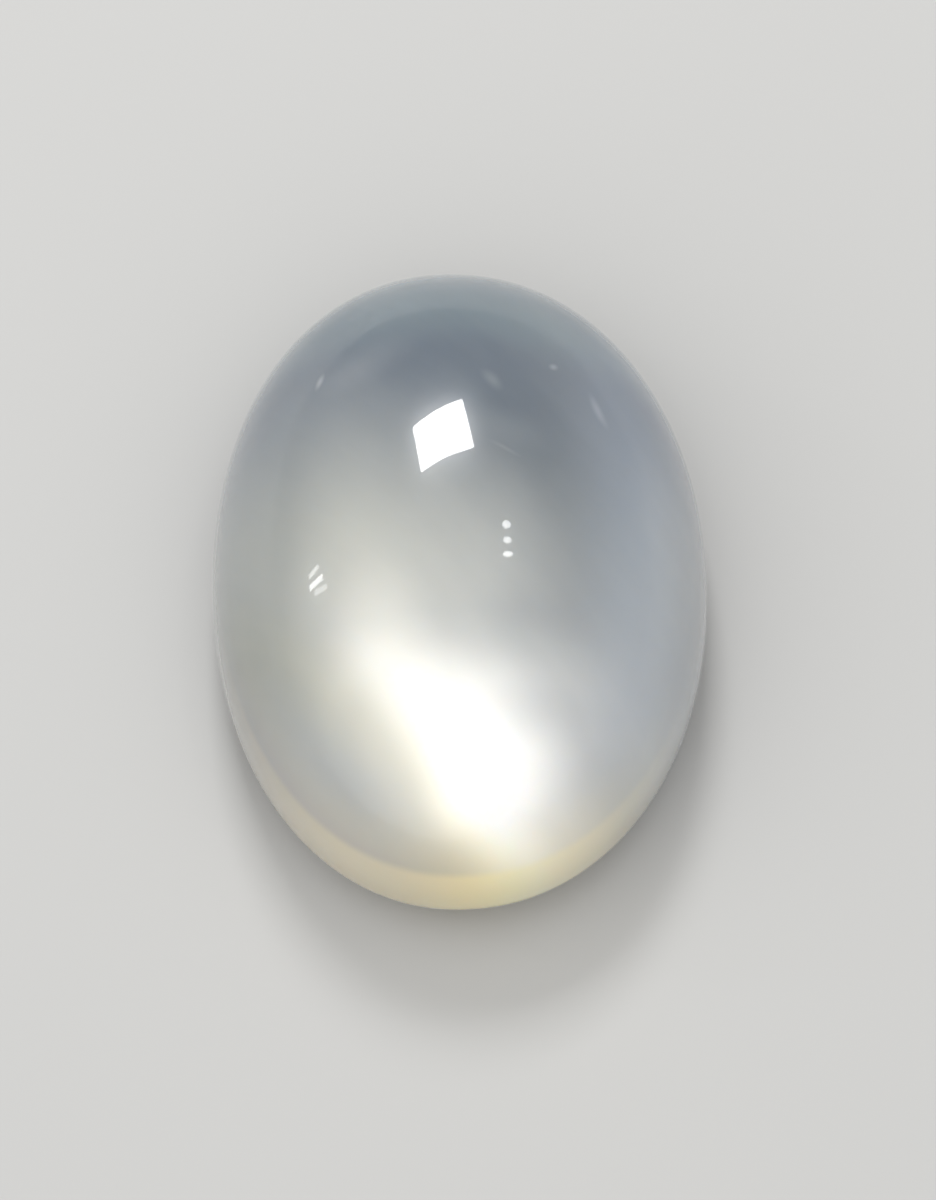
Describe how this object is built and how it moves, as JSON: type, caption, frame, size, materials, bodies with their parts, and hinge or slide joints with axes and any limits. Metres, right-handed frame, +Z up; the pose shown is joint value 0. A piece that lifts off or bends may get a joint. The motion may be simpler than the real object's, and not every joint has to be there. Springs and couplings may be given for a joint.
{
  "type": "polished oval moonstone cabochon",
  "caption": "Polished oval moonstone with a high glassy dome, a rounded girdle and a gently curved back ground flat where it rests.",
  "frame": {"origin": "middle of the flat spot under the stone, on the surface that it rests on", "axes": "+Z up through the crown of the dome, Y along the long way of the oval, X across it"},
  "size_m": [0.013, 0.018, 0.0075],
  "materials": {
    "moonstone": "milky and half see-through, faintly blue, with a soft white glow inside and a glassy polish"
  },
  "bodies": {
    "root": {"moonstone": "moonstone"}
  },
  "joints": []
}
